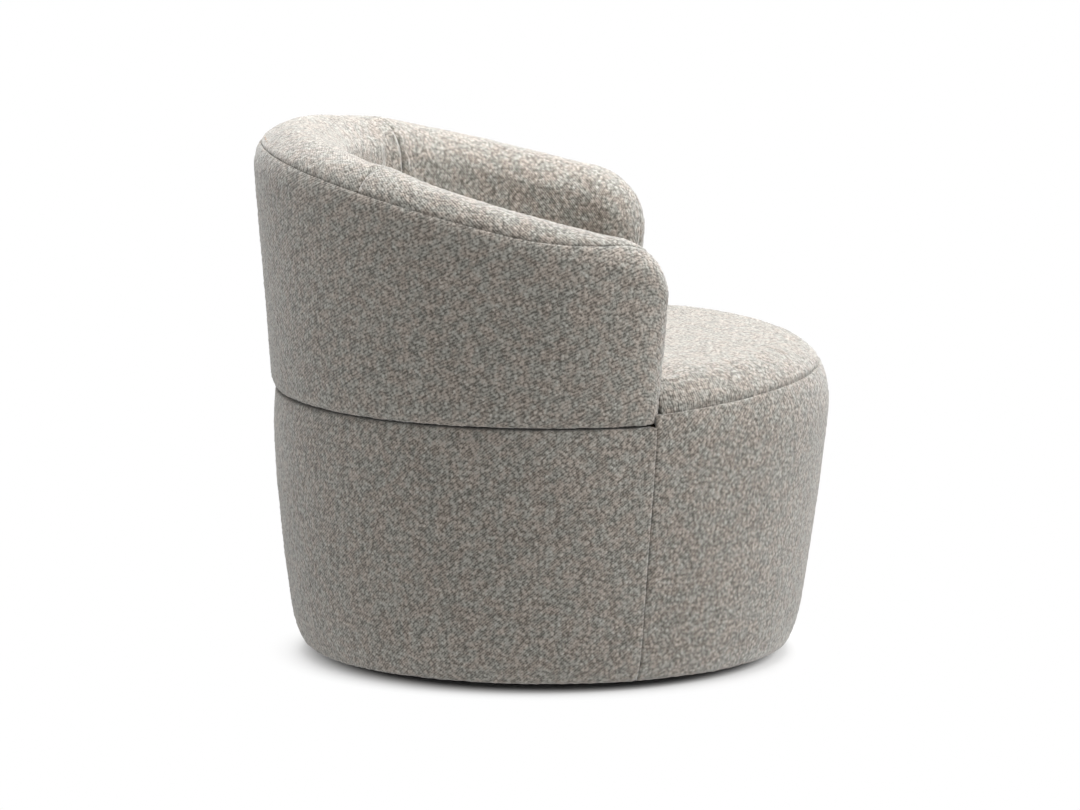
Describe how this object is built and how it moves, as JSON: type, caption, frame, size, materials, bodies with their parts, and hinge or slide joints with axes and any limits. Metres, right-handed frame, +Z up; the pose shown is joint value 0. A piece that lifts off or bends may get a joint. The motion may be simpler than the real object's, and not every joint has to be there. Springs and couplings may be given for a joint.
{
  "type": "tub chair",
  "caption": "Round upholstered swivel tub chair: a drum base with a crowned seat, and a padded shell that wraps round the back and slopes down into both arms.",
  "frame": {"origin": "on the swivel axis at floor level, the middle of the floor pad's underside", "axes": "+Z up along the swivel axis; the chair faces -Y; +X is the sitter's left"},
  "size_m": [0.7842, 0.7814, 0.7268],
  "materials": {
    "pad_rubber": "matte",
    "plate_paint": "satin",
    "zinc_steel": "satin",
    "ball_steel": "polished",
    "cage_plastic": "matte",
    "plywood": "matte",
    "fibreboard": "matte",
    "foam": "matte",
    "boucle": "matte",
    "lining": "matte",
    "webbing": "matte"
  },
  "bodies": {
    "floor_base": {"floor_pad": "pad_rubber", "base_plate": "plate_paint", "turntable_lower": "zinc_steel", "pivot_pin": "zinc_steel", "bearing_balls": "ball_steel", "ball_cage": "cage_plastic", "lower_screws": "zinc_steel"},
    "chair": {"turntable_upper": "zinc_steel", "upper_screws": "zinc_steel", "plinth_ring": "plywood", "bottom_deck": "plywood", "seat_ring": "plywood", "side_wrap": "fibreboard", "base_foam": "foam", "base_cover_rear": "boucle", "base_cover_front": "boucle", "dust_cover": "lining", "seat_foam": "foam", "seat_cover": "boucle", "back_bottom_rail": "plywood", "back_top_rail": "plywood", "arm_front_panel_right": "plywood", "arm_front_panel_left": "plywood", "back_outer_skin": "fibreboard", "back_inner_skin": "fibreboard", "back_foam": "foam", "back_cover_outer": "boucle", "back_cover_centre": "boucle", "back_cover_right": "boucle", "back_cover_left": "boucle", "shell_bolts": "zinc_steel", "shell_nuts": "zinc_steel", "base_rib_1": "plywood", "base_rib_2": "plywood", "base_rib_3": "plywood", "base_rib_4": "plywood", "base_rib_5": "plywood", "base_rib_6": "plywood", "base_rib_7": "plywood", "base_rib_8": "plywood", "back_rib_1": "plywood", "back_rib_2": "plywood", "back_rib_3": "plywood", "back_rib_4": "plywood", "back_rib_5": "plywood", "seat_strap_lengthwise_1": "webbing", "seat_strap_lengthwise_2": "webbing", "seat_strap_lengthwise_3": "webbing", "seat_strap_lengthwise_4": "webbing", "seat_strap_crosswise_1": "webbing", "seat_strap_crosswise_2": "webbing", "seat_strap_crosswise_3": "webbing", "seat_strap_crosswise_4": "webbing"}
  },
  "joints": [
    {"name": "swivel", "type": "hinge", "parent": "floor_base", "child": "chair", "pos_m": [0, 0, 0.0182], "axis": [0, 0, 1], "continuous": true}
  ]
}
